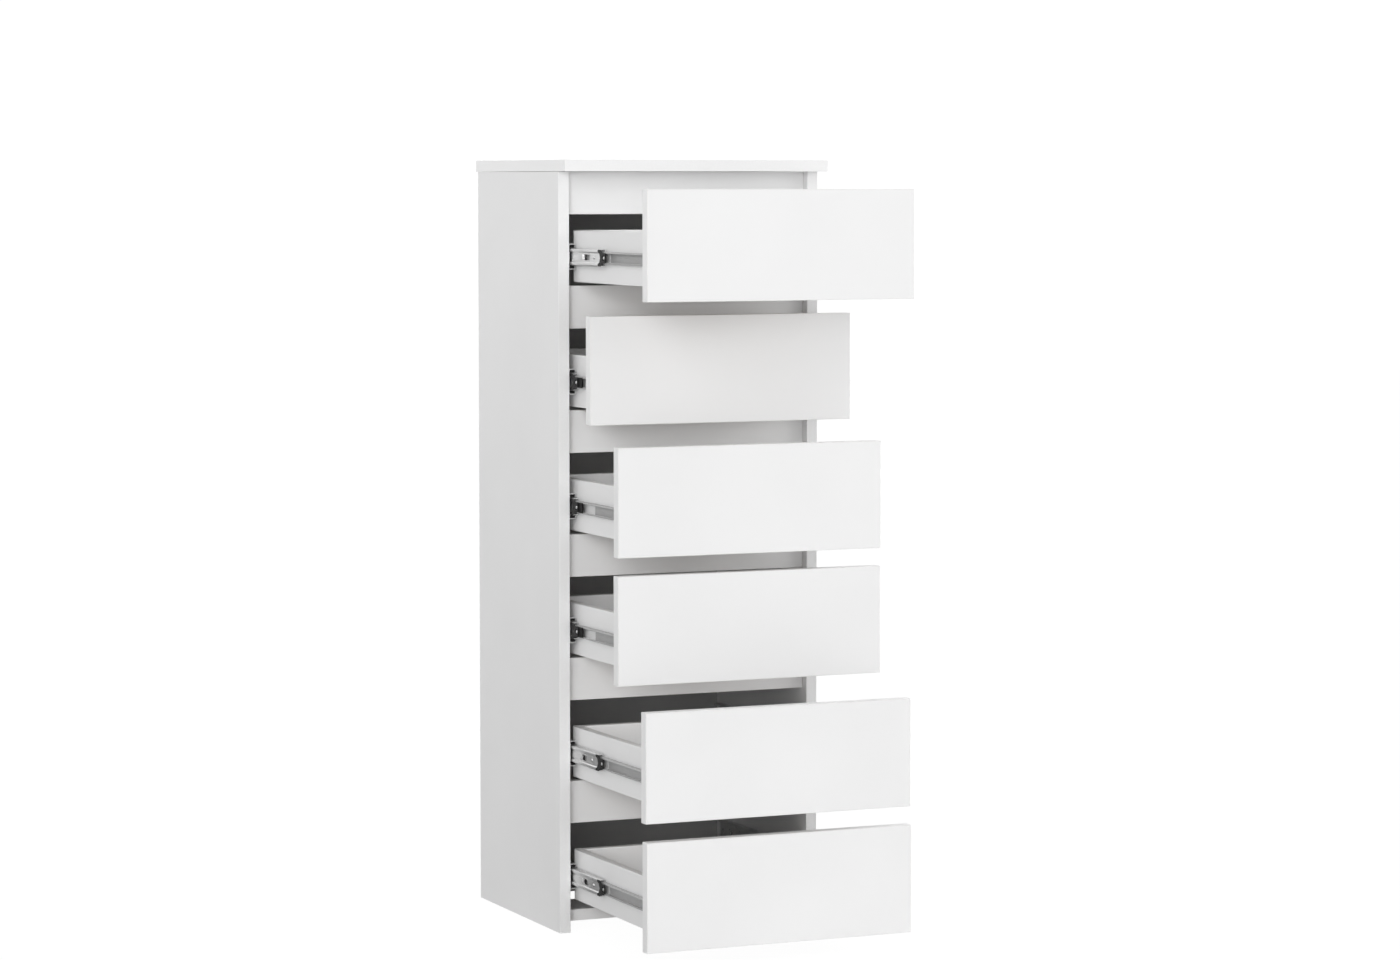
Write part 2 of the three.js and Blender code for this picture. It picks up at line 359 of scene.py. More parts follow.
def make_hardboard_brown():
    """The bare face of a hardboard: mottled brown fibres with the pitted print of a press screen."""
    material, tree, shader, place = start_material("hardboard_bare")
    fibres = noise(tree, place, scale=360.0, detail=6.0, roughness=0.65)
    browns = [(0.25, (0.19, 0.135, 0.09)), (0.55, (0.28, 0.205, 0.14)), (0.8, (0.36, 0.27, 0.19))]
    tree.links.new(blend_colours(tree, fibres, browns), shader.inputs["Base Color"])
    tree.links.new(spread(tree, fibres, low=0.65, high=0.85), shader.inputs["Roughness"])
    pits = cells(tree, place, scale=620.0, output="Distance")
    bump(tree, shader, pits, strength=0.5, distance=0.15 * MM)
    return material


def make_zinc(name, bright, roughness, metallic=1.0):
    """Rolled steel with zinc: streaks along the runner and soft cloudy spangle."""
    material, tree, shader, place = start_material(name)
    along = stretched(tree, place, (40.0, 1.0, 40.0))
    streaks = noise(tree, along, scale=45.0, detail=4.0, roughness=0.6)
    colour = blend_colours(tree, streaks, [(0.3, grey(bright * 0.86)), (0.7, grey(bright))])
    tree.links.new(colour, shader.inputs["Base Color"])
    shader.inputs["Metallic"].default_value = metallic
    clouds = noise(tree, place, scale=130.0, detail=3.0)
    tree.links.new(spread(tree, clouds, roughness - 0.07, roughness + 0.08), shader.inputs["Roughness"])
    bump(tree, shader, streaks, strength=0.12, distance=0.03 * MM)
    return material


def make_plastic():
    """Black moulded plastic with a fine grain and slightly greyed high spots."""
    material, tree, shader, place = start_material("plastic_black")
    grain = noise(tree, place, scale=1600.0, detail=3.0)
    colour = blend_colours(tree, grain, [(0.35, grey(0.008)), (0.75, grey(0.018))])
    tree.links.new(colour, shader.inputs["Base Color"])
    shader.inputs["Specular IOR Level"].default_value = 0.3
    tree.links.new(spread(tree, grain, low=0.5, high=0.66), shader.inputs["Roughness"])
    bump(tree, shader, grain, strength=0.25, distance=0.04 * MM)
    return material


MELAMINE = make_melamine()
EDGING = make_edging()
CHIPBOARD = make_chipboard()
PAINTED_WHITE = make_hardboard_paint("hardboard_white", 0.88)
# Dark grey paint for the back panel's inner face is painted shade: it stands in for the shade inside the
# carcass behind the drawers.
PAINTED_SHADE_GREY = make_hardboard_paint("hardboard_grey_painted_shade", 0.44)
BARE = make_hardboard_brown()
ZINC = make_zinc("zinc_steel", 0.74, 0.34)
# Pale, mostly non-metallic steel for the inner cage: its near-white colour is a painted reflection of the
# white boards, on top of the steel's own tone.
ZINC_PAINTED_SHEEN = make_zinc("zinc_steel_painted_sheen", 0.84, 0.5, 0.15)
ZINC_DULL = make_zinc("zinc_steel_dull", 0.50, 0.55, 0.2)
FASTENER = make_zinc("fastener_steel", 0.70, 0.28)
PLASTIC = make_plastic()


# ---------------------------------------------------------------- mesh tools

def to_mesh(bm, name):
    """The mesh of a bmesh, with its faces turned outwards. The bmesh is used up."""
    mesh = bpy.data.meshes.new(name)
    bmesh.ops.recalc_face_normals(bm, faces=bm.faces)
    bm.to_mesh(mesh)
    bm.free()
    return mesh


def finish_piece(name, bm, body, materials):
    return place_mesh(name, to_mesh(bm, name), body, materials)


def place_mesh(name, mesh, body, materials):
    for material in materials:
        mesh.materials.append(material)
    piece = bpy.data.objects.new(name, mesh)
    bpy.context.scene.collection.objects.link(piece)
    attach(piece, body)
    return piece


def add_box(bm, low, high, radius, paint=lambda normal: 0, segments=3):
    """A box with rounded edges. paint gives a face's material number from its normal."""
    before = set(bm.faces)
    corners = bmesh.ops.create_cube(bm, size=1.0)["verts"]
    for vert in corners:
        vert.co = Vector([low[i] if vert.co[i] < 0 else high[i] for i in range(3)])
    edges = list({edge for vert in corners for edge in vert.link_edges})
    bmesh.ops.bevel(bm, geom=edges, offset=radius, segments=segments, profile=0.5, affect="EDGES")
    bm.normal_update()
    for face in bm.faces:
        if face not in before:
            face.material_index = paint(face.normal)
            face.smooth = max(abs(c) for c in face.normal) < FLAT


def rounded(corners):
    """Turns (a, b, radius) corners into points, and says which sides lie on a corner's arc."""
    points = []
    on_arc = []
    count = len(corners)
    for i, (a, b, radius) in enumerate(corners):
        corner = Vector((a, b))
        if radius == 0:
            points.append(corner)
            on_arc.append(False)
            continue
        back = (Vector(corners[i - 1][:2]) - corner).normalized()
        ahead = (Vector(corners[(i + 1) % count][:2]) - corner).normalized()
        half = back.angle(ahead) / 2
        centre = corner + (back + ahead).normalized() * radius / math.sin(half)
        start = corner + back * radius / math.tan(half) - centre
        end = corner + ahead * radius / math.tan(half) - centre
        for k in range(ARC_STEPS + 1):
            points.append(centre + start.lerp(end, k / ARC_STEPS).normalized() * radius)
            on_arc.append(k < ARC_STEPS)
    return points, on_arc


def strip_outline(path, thickness, radius):
    """The closed outline of a bent sheet whose middle line is path, with rounded bends."""
    bends = [(a, b, radius) for a, b in path[1:-1]]
    line, on_arc = rounded([(*path[0], 0), *bends, (*path[-1], 0)])
    normals = []
    for i in range(len(line)):
        before = line[max(i - 1, 0)]
        after = line[min(i + 1, len(line) - 1)]
        run = (after - before).normalized()
        normals.append(Vector((-run[1], run[0])))
    outer = [p + n * thickness / 2 for p, n in zip(line, normals)]
    inner = [p - n * thickness / 2 for p, n in zip(line, normals)]
    arc_back = [on_arc[i - 1] for i in range(len(line) - 1, 0, -1)]
    return outer + inner[::-1], on_arc[:-1] + [False] + arc_back + [False]


def prism(bm, points, on_arc, along, start, end):
    """Extrudes an outline along an axis. Its points are (x, z) along Y and (y, z) along X."""

    def spot(point, depth):
        return (point[0], depth, point[1]) if along == Y else (depth, point[0], point[1])

    near = [bm.verts.new(spot(p, start)) for p in points]
    far = [bm.verts.new(spot(p, end)) for p in points]
    for i in range(len(points)):
        j = (i + 1) % len(points)
        bm.faces.new((near[i], near[j], far[j], far[i])).smooth = on_arc[i]
    bm.faces.new(near[::-1])
    bm.faces.new(far)


def extrude(bm, corners, along, start, end):
    """Extrudes (a, b, radius) corners along an axis."""
    prism(bm, *rounded(corners), along, start, end)


def sheet_member(path, thickness, radius, length):
    """A bent sheet channel along Y, from 0 to length."""
    bm = bmesh.new()
    prism(bm, *strip_outline(path, thickness, radius), Y, 0, length)
    return bm


def carve(mesh, cutters):
    """The mesh with the cutter meshes taken out of it."""
    body = bpy.data.objects.new("carved", mesh)
    bpy.context.scene.collection.objects.link(body)
    tools = []
    for cutter in cutters:
        tool = bpy.data.objects.new("cutter", cutter)
        bpy.context.scene.collection.objects.link(tool)
        tools.append(tool)
        modifier = body.modifiers.new("cut", "BOOLEAN")
        modifier.operation = "DIFFERENCE"
        modifier.solver = "EXACT"
        modifier.object = tool
    bpy.context.view_layer.update()
    result = bpy.data.meshes.new_from_object(body.evaluated_get(bpy.context.evaluated_depsgraph_get()))
    for extra in [body, *tools]:
        bpy.data.objects.remove(extra)
    return result


def turns(sides):
    return [2 * math.pi * i / sides for i in range(sides)]


def rod(y, z, radius, depths):
    """A round cutter along X."""
    bm = bmesh.new()
    ring = [(y + radius * math.cos(a), z + radius * math.sin(a), 0) for a in turns(HEAD_SIDES)]
    extrude(bm, ring, X, *depths)
    return to_mesh(bm, "rod")


def slot_cutter(y0, y1, height, radius, depths):
    """A cutter along X for a slot with rounded corners."""
    bm = bmesh.new()
    half = height / 2
    corners = [(y0, -half, radius), (y1, -half, radius), (y1, half, radius), (y0, half, radius)]
    extrude(bm, corners, X, *depths)
    return to_mesh(bm, "slot")


def lathe(profile, sides=HEAD_SIDES):
    """Turns (radius, depth) points about the X axis into a closed body."""
    bm = bmesh.new()
    rings = []
    for radius, depth in profile:
        if radius == 0:
            rings.append([bm.verts.new((depth, 0, 0))])
        else:
            ring = [(depth, radius * math.cos(a), radius * math.sin(a)) for a in turns(sides)]
            rings.append([bm.verts.new(p) for p in ring])
    for lower, upper in zip(rings, rings[1:]):
        for i in range(sides):
            j = (i + 1) % sides
            near = [lower[i % len(lower)], lower[j % len(lower)]]
            far = [upper[j % len(upper)], upper[i % len(upper)]]
            bm.faces.new(list(dict.fromkeys(near + far))).smooth = True
    return to_mesh(bm, "lathe")


def slid(mesh, distance):
    """The mesh, moved along Y."""
    for vert in mesh.vertices:
        vert.co[Y] += distance
    return mesh


def moved(mesh, name, origin, side, offset=(0, 0, 0)):
    """A copy of a mesh made for the left side, put at origin. side 1 mirrors it for the right side."""
    copy = mesh.copy()
    copy.name = name
    for vert in copy.vertices:
        x, y, z = (vert.co[i] + offset[i] for i in range(3))
        vert.co = (origin[0] - side * x, origin[1] + y, origin[2] + z)
    if side > 0:
        copy.flip_normals()
    return copy


def joined(name, meshes):
    bm = bmesh.new()
    for mesh in meshes:
        bm.from_mesh(mesh)
    mesh = bpy.data.meshes.new(name)
    bm.to_mesh(mesh)
    bm.free()
    return mesh


def soften(piece, width):
    """Rounds the sharp edges of a piece."""
    modifier = piece.modifiers.new("edges", "BEVEL")
    modifier.width = width
    modifier.segments = SOFT_SEGMENTS
    modifier.limit_method = "ANGLE"
    modifier.angle_limit = math.radians(SOFT_ANGLE)
    modifier.harden_normals = False


# ---------------------------------------------------------------- boards

def make_board(node, body, bands):
    """A melamine-faced board with edge bands on the given (axis, direction) edges, else bare chipboard."""
    low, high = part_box(node)
    thin = min(range(3), key=lambda axis: high[axis] - low[axis])
    core_low, core_high = low.copy(), high.copy()
    for axis, direction in bands:
        if direction < 0:
            core_low[axis] += BAND
        else:
            core_high[axis] -= BAND
    bm = bmesh.new()
    add_box(bm, core_low, core_high, CORE_RADIUS, lambda normal: 0 if abs(normal[thin]) > BROAD else 2, 1)
    covered_low, covered_high = low.copy(), high.copy()
    for axis, direction in bands:
        strip_low, strip_high = covered_low.copy(), covered_high.copy()
        if direction < 0:
            strip_high[axis] = strip_low[axis] + BAND
            covered_low[axis] += BAND
        else:
            strip_low[axis] = strip_high[axis] - BAND
            covered_high[axis] -= BAND
        add_box(bm, strip_low, strip_high, BAND_RADIUS, lambda normal: 1)
    piece = finish_piece(node + "_board", bm, body, [MELAMINE, EDGING, CHIPBOARD])
    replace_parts(piece, node)
    return piece


def make_hardboard(node, body, painted, paint):
    """A thin hardboard, painted on one face (axis, direction) and bare elsewhere."""
    low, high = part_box(node)
    if node == "back_panel":
        high[Y] -= NAIL_STANDOFF
    axis, direction = painted
    bm = bmesh.new()
    add_box(bm, low, high, HARDBOARD_RADIUS, lambda normal: 0 if normal[axis] * direction > PAINTED else 1)
    piece = finish_piece(node + "_sheet", bm, body, [paint, BARE])
    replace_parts(piece, node)
    return piece


def make_box_side(node, body, side):
    """A foil-wrapped drawer side with rounded edges, a groove for the bottom and recesses for its cams."""
    low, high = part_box(node)
    outer = low[X] if side < 0 else high[X]
    inner = high[X] if side < 0 else low[X]
    groove_end = inner + side * GROOVE_DEPTH
    corners = [
        (outer, low[Z], FOIL_RADIUS),
        (inner, low[Z], FOIL_RADIUS),
        (inner, low[Z] + GROOVE_LOW, GROOVE_LIP_RADIUS),
        (groove_end, low[Z] + GROOVE_LOW, 0),
        (groove_end, low[Z] + GROOVE_HIGH, 0),
        (inner, low[Z] + GROOVE_HIGH, GROOVE_LIP_RADIUS),
        (inner, high[Z], FOIL_RADIUS),
        (outer, high[Z], FOIL_RADIUS),
    ]
    bm = bmesh.new()
    extrude(bm, corners, Y, low[Y], high[Y])
    for face in bm.faces:
        face.normal_update()
        if abs(face.normal[Y]) > CUT_END:
            face.material_index = 1
    depths = sorted((inner - side * CUT_PAST, inner + side * CAM_DEPTH))
    cutters = [rod(y, z, CAM_RADIUS + CAM_CLEARANCE, depths) for y, z in cam_spots(low)]
    mesh = carve(to_mesh(bm, node), cutters)
    piece = place_mesh(node + "_board", mesh, body, [MELAMINE, CHIPBOARD])
    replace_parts(piece, node)
    return piece


def cam_spots(low):
    """Where the cam fittings that hold the front sit on a drawer side, as (y, z)."""
    return [(low[Y] + CAM_FROM_FRONT, low[Z] + z) for z in CAM_HEIGHTS]


def make_cams(n, cam):
    """The cam discs in the inner faces of both sides of drawer n."""
    body = f"drawer_{n}"
    cams = []
    for name, side in SIDES.items():
        low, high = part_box(f"{body}_{name}_side")
        inner = high[X] if side < 0 else low[X]
        for y, z in cam_spots(low):
            cams.append(moved(cam, "cam", (inner, y, z), -side, (CAM_SINK, 0, 0)))
    place_mesh(f"{body}_cams", joined("cams", cams), body, [ZINC_DULL])


def make_box_back(node, body):
    """A foil-wrapped drawer back with a groove for the bottom in its front face."""
    low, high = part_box(node)
    corners = [
        (low[Y], low[Z], FOIL_RADIUS),
        (high[Y], low[Z], FOIL_RADIUS),
        (high[Y], high[Z], FOIL_RADIUS),
        (low[Y], high[Z], FOIL_RADIUS),
        (low[Y], low[Z] + GROOVE_HIGH, GROOVE_LIP_RADIUS),
        (low[Y] + GROOVE_DEPTH, low[Z] + GROOVE_HIGH, 0),
        (low[Y] + GROOVE_DEPTH, low[Z] + GROOVE_LOW, 0),
        (low[Y], low[Z] + GROOVE_LOW, GROOVE_LIP_RADIUS),
    ]
    bm = bmesh.new()
    extrude(bm, corners, X, low[X], high[X])
    piece = finish_piece(node + "_board", bm, body, [MELAMINE])
    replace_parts(piece, node)
    return piece


def make_carcass():
    front, rear, left, right, under, over = (Y, -1), (Y, 1), (X, -1), (X, 1), (Z, -1), (Z, 1)
    make_board("left_side", "carcass", [front])
    make_board("right_side", "carcass", [front])
    make_board("top_panel", "carcass", [front, left, right])
    make_board("top_front_rail", "carcass", [under])
    for n in DIVIDER_RAILS:
        make_board(f"divider_rail_{n}", "carcass", [over, under])
    make_board("bottom_front_rail", "carcass", [front])
    make_board("bottom_rear_rail", "carcass", [front])
    # The back panel's face towards the drawers is dark grey, painted shade for the dark inside of the
    # carcass.
    make_hardboard("back_panel", "carcass", (Y, -1), PAINTED_SHADE_GREY)


def make_drawer_box(n):
    body = f"drawer_{n}"
    make_board(f"{body}_front", body, [(Z, -1), (Z, 1), (X, -1), (X, 1)])
    for name, side in SIDES.items():
        make_box_side(f"{body}_{name}_side", body, side)
    make_box_back(f"{body}_back", body)
    make_hardboard(f"{body}_bottom", body, (Z, 1), PAINTED_WHITE)


# ---------------------------------------------------------------- fasteners

def cross_cutters(size, width, depth):
    """Two crossed bars for a cross recess, on a head that faces -X with its top at 0."""
    bars = []
    for y, z in ((width / 2, size / 2), (size / 2, width / 2)):
        bar = bmesh.new()
        extrude(bar, [(-y, -z, 0), (y, -z, 0), (y, z, 0), (-y, z, 0)], X, -CUT_PAST, depth)
        bars.append(to_mesh(bar, "bar"))
    return bars


def make_flat_head():
    """A countersunk head whose top lies at 0 and faces +X, away from the carcass side."""
    head = carve(lathe(FLAT_HEAD_PROFILE), cross_cutters(*FLAT_HEAD_CROSS))
    for vert in head.vertices:
        vert.co[X] *= -1
        vert.co[Y] *= -1
    return head


def make_pan_head():
    """A domed head whose base lies at 0, with its top towards -X."""
    cutters = cross_cutters(*PAN_HEAD_CROSS)
    for cutter in cutters:
        for vert in cutter.vertices:
            vert.co[X] -= PAN_HEAD_HEIGHT
    return carve(lathe(PAN_HEAD_PROFILE), cutters)


def make_cam():
    """A cam disc with a raised rim and a cross recess, its face at 0 towards -X."""
    return carve(lathe(CAM_PROFILE, CAM_SIDES), cross_cutters(*CAM_CROSS))


def nail_spots():
    """The (x, z) places of the back panel's nails: down both sides, near the top and in the bottom rail."""
    low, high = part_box("back_panel")
    spots = []
    for i in range(NAIL_ROWS):
        z = low[Z] + NAIL_FROM_END + (high[Z] - low[Z] - 2 * NAIL_FROM_END) * i / (NAIL_ROWS - 1)
        spots += [(low[X] + NAIL_FROM_SIDE, z), (high[X] - NAIL_FROM_SIDE, z)]
    near_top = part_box("top_front_rail")[1][Z] - NAIL_BELOW_TOP
    in_bottom_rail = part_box("bottom_rear_rail")[1][Z] - NAIL_BELOW_BOTTOM_RAIL_TOP
    for i in (-1, 0, 1):
        spots += [(i * NAIL_SPACING, near_top), (i * NAIL_SPACING, in_bottom_rail)]
    return spots


def make_back_nails():
    """Round nail heads that stand on the back panel."""
    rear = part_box("back_panel")[1][Y]
    bm = bmesh.new()
    for x, z in nail_spots():
        rings = []
        for radius, height in NAIL_HEAD:
            y = rear - (NAIL_STANDOFF - height)
            ring = [(x + radius * math.cos(a), y, z + radius * math.sin(a)) for a in turns(NAIL_SIDES)]
            rings.append([bm.verts.new(p) for p in ring])
        for inner, outer in zip(rings, rings[1:]):
            for i in range(NAIL_SIDES):
                j = (i + 1) % NAIL_SIDES
                bm.faces.new((inner[i], inner[j], outer[j], outer[i]))
        bm.faces.new(rings[0])
        bm.faces.new(rings[-1])
    finish_piece("back_panel_nails", bm, "carcass", [FASTENER])


# ---------------------------------------------------------------- runners

def make_cabinet_member():
    """The channel on the carcass side, with holes for its screws and two slots."""
    bm = sheet_member(CABINET_PATH, CABINET_STEEL, CABINET_BEND, CABINET_LENGTH)
    cutters = [rod(y, 0, CABINET_HOLE_RADIUS, CABINET_CUT) for y in CABINET_SCREWS]
    for y in CABINET_SLOTS:
        ends = (y, y + CABINET_SLOT_LENGTH)
        cutters.append(slot_cutter(*ends, CABINET_SLOT_HEIGHT, CABINET_SLOT_RADIUS, CABINET_CUT))
    return carve(to_mesh(bm, "cabinet_member"), cutters)


def make_middle_member():
    """The middle channel, with its front end at MIDDLE_START behind the plastic nose, and what is on it."""
    bm = sheet_member(MIDDLE_PATH, MIDDLE_STEEL, MIDDLE_BEND, MIDDLE_LENGTH)
    cutters = [slot_cutter(*MIDDLE_WINDOW, MIDDLE_WINDOW_HEIGHT, MIDDLE_WINDOW_RADIUS, MIDDLE_CUT)]
    cutters += [rod(y, 0, MIDDLE_HOLE_RADIUS, MIDDLE_CUT) for y in MIDDLE_HOLES]
    channel = carve(slid(to_mesh(bm, "channel"), MIDDLE_START), cutters)
    near, far = MIDDLE_PANEL
    face, back = MIDDLE_PANEL_DEPTHS
    half = MIDDLE_PANEL_HEIGHT / 2
    panel = bmesh.new()
    add_box(panel, (face, near, -half), (back, far, half), MIDDLE_PANEL_RADIUS)
    rivet = slid(lathe(RIVET_PROFILE), MIDDLE_RIVET)
    pin = slid(lathe(PIN_PROFILE), STOP_HOLE)
    return joined("middle_member", [channel, to_mesh(panel, "pressed_panel"), rivet, pin])


def make_stop():
    """The black end of the middle member: a nose with a round hole, and two horns that clasp the channel."""
    lower_half = [(y, -z, radius) for y, z, radius in STOP_HALF_FACE]
    face = lower_half + [STOP_NOTCH] + STOP_HALF_FACE[::-1]
    hole = rod(STOP_HOLE, 0, STOP_HOLE_RADIUS, STOP_CUT)
    plates = []
    for outline, depths in ((face, STOP_FACE_DEPTHS), (STOP_BLOCK, STOP_BLOCK_DEPTHS)):
        bm = bmesh.new()
        extrude(bm, outline, X, *depths)
        plates.append(carve(to_mesh(bm, "plate"), [hole]))
    return joined("stop", plates)


def make_drawer_member():
    """The channel on the drawer side, with three slots."""
    bm = sheet_member(DRAWER_MEMBER_PATH, DRAWER_MEMBER_STEEL, DRAWER_MEMBER_BEND, DRAWER_MEMBER_LENGTH)
    cutters = []
    for y in DRAWER_MEMBER_SLOTS:
        ends = (y, y + DRAWER_MEMBER_SLOT_LENGTH)
        size = (DRAWER_MEMBER_SLOT_HEIGHT, DRAWER_MEMBER_SLOT_RADIUS)
        cutters.append(slot_cutter(*ends, *size, DRAWER_MEMBER_CUT))
    return carve(to_mesh(bm, "drawer_member"), cutters)


def make_inner_cage():
    """The cage of the inner ball race, a thin channel that lines the drawer member. Its pale colour is partly
    the steel's own tone and partly a painted reflection of the white boards.
    """
    bm = sheet_member(INNER_CAGE_PATH, INNER_CAGE_STEEL, INNER_CAGE_BEND, INNER_CAGE_LENGTH)
    return to_mesh(bm, "inner_cage")


def make_cage_block():
    """The black plastic block ahead of the nose: a bar along its top and bottom, and upright ribs between."""
    block = bmesh.new()
    edge = CAGE_BLOCK_RADIUS
    half = CAGE_BLOCK_HALF_HEIGHT
    inner = half - CAGE_BAR
    length = CAGE_BLOCK_LENGTH
    add_box(block, (CAGE_BLOCK_FLOOR, 0, -inner - edge), (CAGE_BLOCK_BACK, length, inner + edge), edge)
    for low_z in (-half, inner):
        add_box(block, (CAGE_BLOCK_FACE, 0, low_z), (CAGE_BLOCK_BACK, length, low_z + CAGE_BAR), edge)
    for k in range(int(length // CAGE_RIB_PITCH) + 1):
        y = k * CAGE_RIB_PITCH
        add_box(block, (CAGE_BLOCK_FACE, y, -inner), (CAGE_BLOCK_BACK, y + CAGE_RIB_WIDTH, inner), edge)
    return to_mesh(block, "cage_block")


def make_ball_cages():
    """The black cages of the outer ball races, above and below the middle member."""
    bars = bmesh.new()
    face, back = CAGE_DEPTHS
    for z in (BALL_HEIGHT, -BALL_HEIGHT):
        low = (face, 0, z - CAGE_HALF_HEIGHT)
        high = (back, CAGE_LENGTH, z + CAGE_HALF_HEIGHT)
        add_box(bars, low, high, CAGE_RADIUS)
    return to_mesh(bars, "cages")


def make_balls():
    """The steel balls in both outer cages."""
    bm = bmesh.new()
    for z in (BALL_HEIGHT, -BALL_HEIGHT):
        for i in range(int(CAGE_LENGTH / BALL_PITCH)):
            ball = bmesh.ops.create_icosphere(bm, subdivisions=3, radius=BALL_RADIUS)
            for vert in ball["verts"]:
                vert.co += Vector((BALL_DEPTH, BALL_START + i * BALL_PITCH, z))
    for face in bm.faces:
        face.smooth = True
    return to_mesh(bm, "balls")


def make_runner_shapes():
    """The meshes that every runner has, made once for the left side."""
    return {
        "cabinet_member": make_cabinet_member(),
        "middle_member": make_middle_member(),
        "end_stop": make_stop(),
        "drawer_member": make_drawer_member(),
        "inner_cage": make_inner_cage(),
        "cage_block": make_cage_block(),
        "ball_cage": make_ball_cages(),
        "balls": make_balls(),
        "flat_head": make_flat_head(),
        "pan_head": make_pan_head(),
    }


def make_runner(n, name, side, shapes):
    """The left or right runner of drawer n."""
    label = f"runner_{n}_{name}"
    node = f"{label}_middle"
    middle_body = f"runner_middle_{n}"
    drawer_body = f"drawer_{n}"
    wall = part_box(f"{name}_side")[1 if side < 0 else 0][X]
    carcass_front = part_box("left_side")[0][Y]
    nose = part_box(node)[0][Y]
    box_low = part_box(f"drawer_{n}_left_side")[0]
    z = box_low[Z] + RUNNER_Z
    ahead = INNER_CAGE_AHEAD[n - 1]
    at_cabinet = (wall, carcass_front + CABINET_SETBACK, z)
    at_balls = (wall, carcass_front + CAGE_SETBACK, z)
    at_middle = (wall, nose, z)
    at_drawer = (wall, box_low[Y] + DRAWER_MEMBER_SETBACK, z)
    at_inner_cage = (wall, nose - ahead, z)
    at_block = (wall, nose - CAGE_BLOCK_AHEAD, z)

    def put(part, origin, body, material, edge=0):
        piece_name = f"{label}_{part}"
        mesh = moved(shapes[part], piece_name, origin, side)
        piece = place_mesh(piece_name, mesh, body, [material])
        if edge:
            soften(piece, edge)
        return piece

    def put_screws(part, head, origin, depth, places, body):
        heads = [moved(shapes[head], "head", origin, side, (depth, y, 0)) for y in places]
        place_mesh(f"{label}_{part}", joined("heads", heads), body, [FASTENER])

    put("cabinet_member", at_cabinet, "carcass", ZINC, STEEL_EDGE)
    put("ball_cage", at_balls, "carcass", PLASTIC)
    put("balls", at_balls, "carcass", FASTENER)
    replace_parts(put("middle_member", at_middle, middle_body, ZINC, STEEL_EDGE), node)
    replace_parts(put("end_stop", at_middle, middle_body, PLASTIC, PLASTIC_EDGE), node)
    put("drawer_member", at_drawer, drawer_body, ZINC_DULL, STEEL_EDGE)
    # The inner cage's pale steel is a painted reflection of the white boards.
    put("inner_cage", at_inner_cage, drawer_body, ZINC_PAINTED_SHEEN, CAGE_EDGE)
    if ahead > CAGE_BLOCK_AHEAD:
        put("cage_block", at_block, middle_body, PLASTIC)
    put_screws("cabinet_screws", "flat_head", at_cabinet, CABINET_SCREW_TOP, CABINET_SCREWS, "carcass")
    base = DRAWER_MEMBER_SCREW_BASE
    put_screws("drawer_screws", "pan_head", at_drawer, base, DRAWER_MEMBER_SCREWS, drawer_body)


def make_runners():
    shapes = make_runner_shapes()
    for n in DRAWERS:
        for name, side in SIDES.items():
            make_runner(n, name, side, shapes)


# ---------------------------------------------------------------- stage

def make_floor():
    """A pale floor that glows white to the camera and is mirrored dimly."""
    bm = bmesh.new()
    bmesh.ops.create_grid(bm, x_segments=1, y_segments=1, size=FLOOR_HALF_WIDTH)
    for vert in bm.verts:
        vert.co[Z] = -FLOOR_DROP
    mesh = bpy.data.meshes.new("floor")
    bm.to_mesh(mesh)
    bm.free()
    material, tree, shader, place = start_material("floor_white")
    colour = blend_colours(tree, noise(tree, place, 2.0), [(0.3, grey(0.93)), (0.7, grey(0.95))])
    tree.links.new(colour, shader.inputs["Base Color"])
    shader.inputs["Roughness"].default_value = 0.9
    shader.inputs["Specular IOR Level"].default_value = 0.0
    glow = tree.nodes.new("ShaderNodeEmission")
    glow.inputs["Strength"].default_value = BACKDROP
    dim = tree.nodes.new("ShaderNodeEmission")
    dim.inputs["Strength"].default_value = FLOOR_MIRRORED
    path = tree.nodes.new("ShaderNodeLightPath")
    share = tree.nodes.new("ShaderNodeMath")
    share.operation = "MULTIPLY"
    share.inputs[1].default_value = FLOOR_GLOW
    tree.links.new(path.outputs["Is Camera Ray"], share.inputs[0])
    surface = shader.outputs["BSDF"]
    for factor, other in ((path.outputs["Is Glossy Ray"], dim), (share.outputs["Value"], glow)):
        mix = tree.nodes.new("ShaderNodeMixShader")
        tree.links.new(factor, mix.inputs["Fac"])
        tree.links.new(surface, mix.inputs[1])
        tree.links.new(other.outputs["Emission"], mix.inputs[2])
        surface = mix.outputs["Shader"]
    tree.links.new(surface, tree.nodes["Material Output"].inputs["Surface"])
    mesh.materials.append(material)
    floor = bpy.data.objects.new("floor", mesh)
    bpy.context.scene.collection.objects.link(floor)


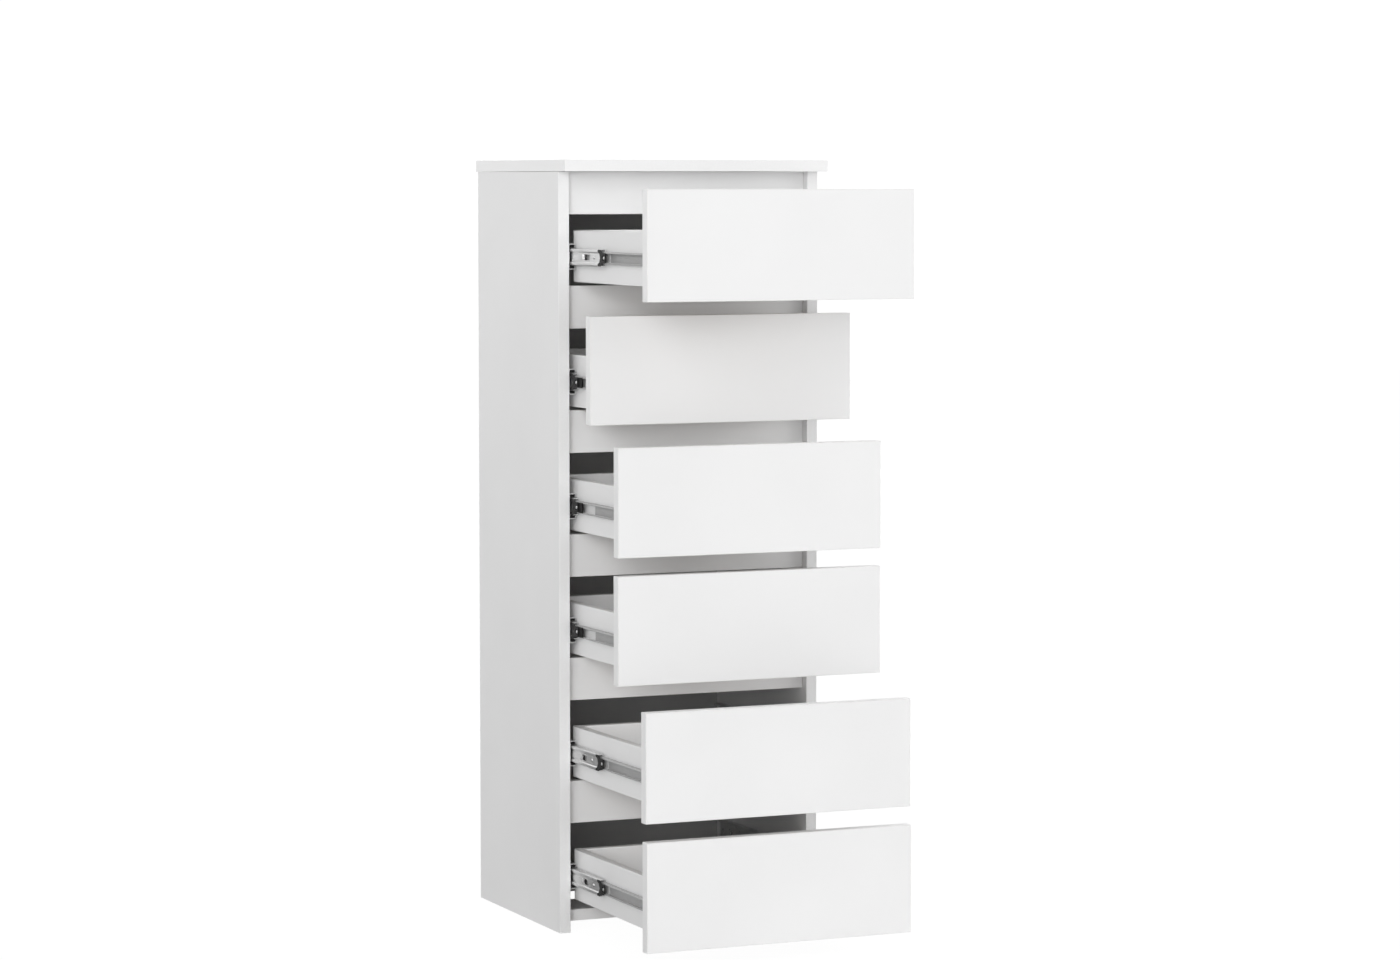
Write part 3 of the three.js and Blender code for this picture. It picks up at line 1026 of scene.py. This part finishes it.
def make_world():
    """Faint even light all round, with a brighter room for gloss to mirror and a white background."""
    world = bpy.data.worlds.new("studio")
    bpy.context.scene.world = world
    world.use_nodes = True
    tree = world.node_tree
    path = tree.nodes.new("ShaderNodeLightPath")
    shader = tree.nodes["Background"].outputs["Background"]
    tree.nodes["Background"].inputs["Color"].default_value = (1, 1, 1, 1)
    tree.nodes["Background"].inputs["Strength"].default_value = AMBIENT
    for ray, strength in (("Is Glossy Ray", MIRRORED), ("Is Camera Ray", BACKDROP)):
        background = tree.nodes.new("ShaderNodeBackground")
        background.inputs["Color"].default_value = (1, 1, 1, 1)
        background.inputs["Strength"].default_value = strength
        mix = tree.nodes.new("ShaderNodeMixShader")
        tree.links.new(path.outputs[ray], mix.inputs["Fac"])
        tree.links.new(shader, mix.inputs[1])
        tree.links.new(background.outputs["Background"], mix.inputs[2])
        shader = mix.outputs["Shader"]
    tree.links.new(shader, tree.nodes["World Output"].inputs["Surface"])


def make_softbox(name, azimuth, elevation, width, strength):
    """A wide distant light. Azimuth 0 stands in front of the chest, 90 at its right."""
    data = bpy.data.lights.new(name, "SUN")
    data.energy = strength
    data.angle = math.radians(width)
    light = bpy.data.objects.new(name, data)
    turn, rise = math.radians(azimuth), math.radians(elevation)
    level = math.cos(rise)
    towards = Vector((-math.sin(turn) * level, math.cos(turn) * level, -math.sin(rise)))
    light.rotation_euler = towards.to_track_quat("-Z", "Y").to_euler()
    bpy.context.scene.collection.objects.link(light)


def make_lights():
    make_world()
    for name, values in SOFTBOXES.items():
        make_softbox(name + "_softbox", *values)


def make_camera():
    data = bpy.data.cameras.new("camera")
    data.sensor_width = CAMERA_SENSOR
    data.lens = CAMERA_LENS
    data.clip_end = CAMERA_REACH
    camera = bpy.data.objects.new("camera", data)
    camera.location = CAMERA_PLACE
    camera.rotation_euler = (math.radians(90 - CAMERA_DOWN), 0.0, math.radians(-CAMERA_TO_RIGHT))
    bpy.context.scene.collection.objects.link(camera)
    bpy.context.scene.camera = camera


make_carcass()
cam_disc = make_cam()
for number in DRAWERS:
    make_drawer_box(number)
    make_cams(number, cam_disc)
make_runners()
make_back_nails()
make_floor()
make_lights()
make_camera()
bpy.context.scene.view_settings.view_transform = "Standard"
